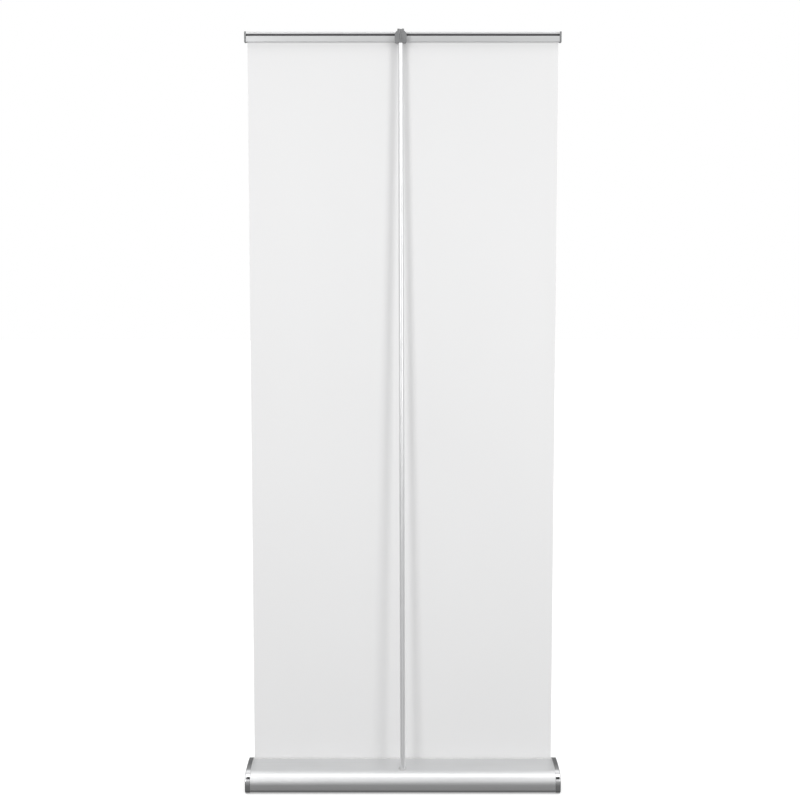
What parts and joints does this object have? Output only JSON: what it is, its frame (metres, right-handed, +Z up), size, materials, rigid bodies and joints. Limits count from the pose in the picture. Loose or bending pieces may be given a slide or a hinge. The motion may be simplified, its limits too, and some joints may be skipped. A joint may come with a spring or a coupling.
{
  "type": "roll-up banner stand",
  "caption": "Retractable banner stand: a teardrop floor cassette with a sprung roller, a snap top rail and a sectional pole at the back.",
  "frame": {"origin": "on the floor under the middle of the base, in the plane of the graphic", "axes": "+Z up, the printed face of the graphic towards -Y, the pole and the pole socket on the +Y side"},
  "size_m": [0.882, 0.2034, 2.109],
  "materials": {
    "satin_aluminium": "satin anodised extrusion",
    "polished_caps": "polished chrome plate",
    "pole_aluminium": "bright anodised tube",
    "steel": "zinc plated steel",
    "black_plastic": "moulded nylon",
    "grey_plastic": "moulded grey plastic",
    "natural_nylon": "natural nylon",
    "rubber": "soft black rubber",
    "film": "matte white banner film",
    "cord": "braided elastic cord"
  },
  "bodies": {
    "base": {"base_shell": "satin_aluminium", "end_cap_left": "polished_caps", "end_cap_right": "polished_caps", "end_bracket_left": "black_plastic", "end_bracket_right": "black_plastic", "cap_screws_left": "steel", "cap_screws_right": "steel", "rubber_pads": "rubber", "slot_trim_front": "natural_nylon", "slot_trim_rear": "natural_nylon", "pole_socket": "grey_plastic", "idler_bush": "natural_nylon", "spindle": "steel", "spring_anchor": "black_plastic", "torsion_spring": "steel", "graphic_panel": "film"},
    "roller": {"roller_tube": "satin_aluminium", "idler_plug": "black_plastic", "idler_pin": "steel", "spring_plug": "black_plastic", "graphic_roll": "film"},
    "top_rail": {"rail_back": "satin_aluminium", "rail_grip_strip": "rubber", "rail_end_cap_left": "grey_plastic", "rail_end_cap_right": "grey_plastic"},
    "rail_jaw": {"rail_jaw": "satin_aluminium", "jaw_grip_strip": "rubber"},
    "pole_lower": {"pole_lower": "pole_aluminium", "ferrule_lower": "steel", "pole_foot_plug": "black_plastic", "bungee_cord": "cord"},
    "pole_middle": {"pole_middle": "pole_aluminium", "ferrule_upper": "steel"},
    "pole_upper": {"pole_upper": "pole_aluminium", "clip_body": "grey_plastic", "clip_latch": "grey_plastic"}
  },
  "joints": [
    {"name": "graphic_retract", "type": "slide", "parent": "base", "child": "top_rail", "axis": [0, 0, 1], "range_m": [-2.006, 0], "deforming": ["graphic_panel", "clip_latch"]},
    {"name": "roller_spin", "type": "hinge", "parent": "base", "child": "roller", "pos_m": [0, 0.0175, 0.033], "axis": [1, 0, 0], "range_deg": [0, 6000], "deforming": ["torsion_spring"]},
    {"name": "jaw_open", "type": "hinge", "parent": "top_rail", "child": "rail_jaw", "pos_m": [0, -0.003, 2.1008], "axis": [-1, 0, 0], "range_deg": [0, 35]},
    {"name": "pole_lift", "type": "slide", "parent": "base", "child": "pole_lower", "axis": [0.0029, -0.0224, 0.9997], "range_m": [0, 0.12], "deforming": ["clip_latch"]},
    {"name": "pole_joint_lower", "type": "slide", "parent": "pole_lower", "child": "pole_middle", "axis": [0.0029, -0.0224, 0.9997], "range_m": [0, 0.065], "stiffness_N_per_m": 60, "springref_m": -0.08, "deforming": ["bungee_cord", "clip_latch"]},
    {"name": "pole_joint_upper", "type": "slide", "parent": "pole_middle", "child": "pole_upper", "axis": [0.0029, -0.0224, 0.9997], "range_m": [0, 0.065], "stiffness_N_per_m": 60, "springref_m": -0.08, "deforming": ["bungee_cord", "clip_latch"]}
  ],
  "couplings": [
    {"joint": "roller_spin", "follows": "graphic_retract", "rad_per_m": -51.81}
  ]
}
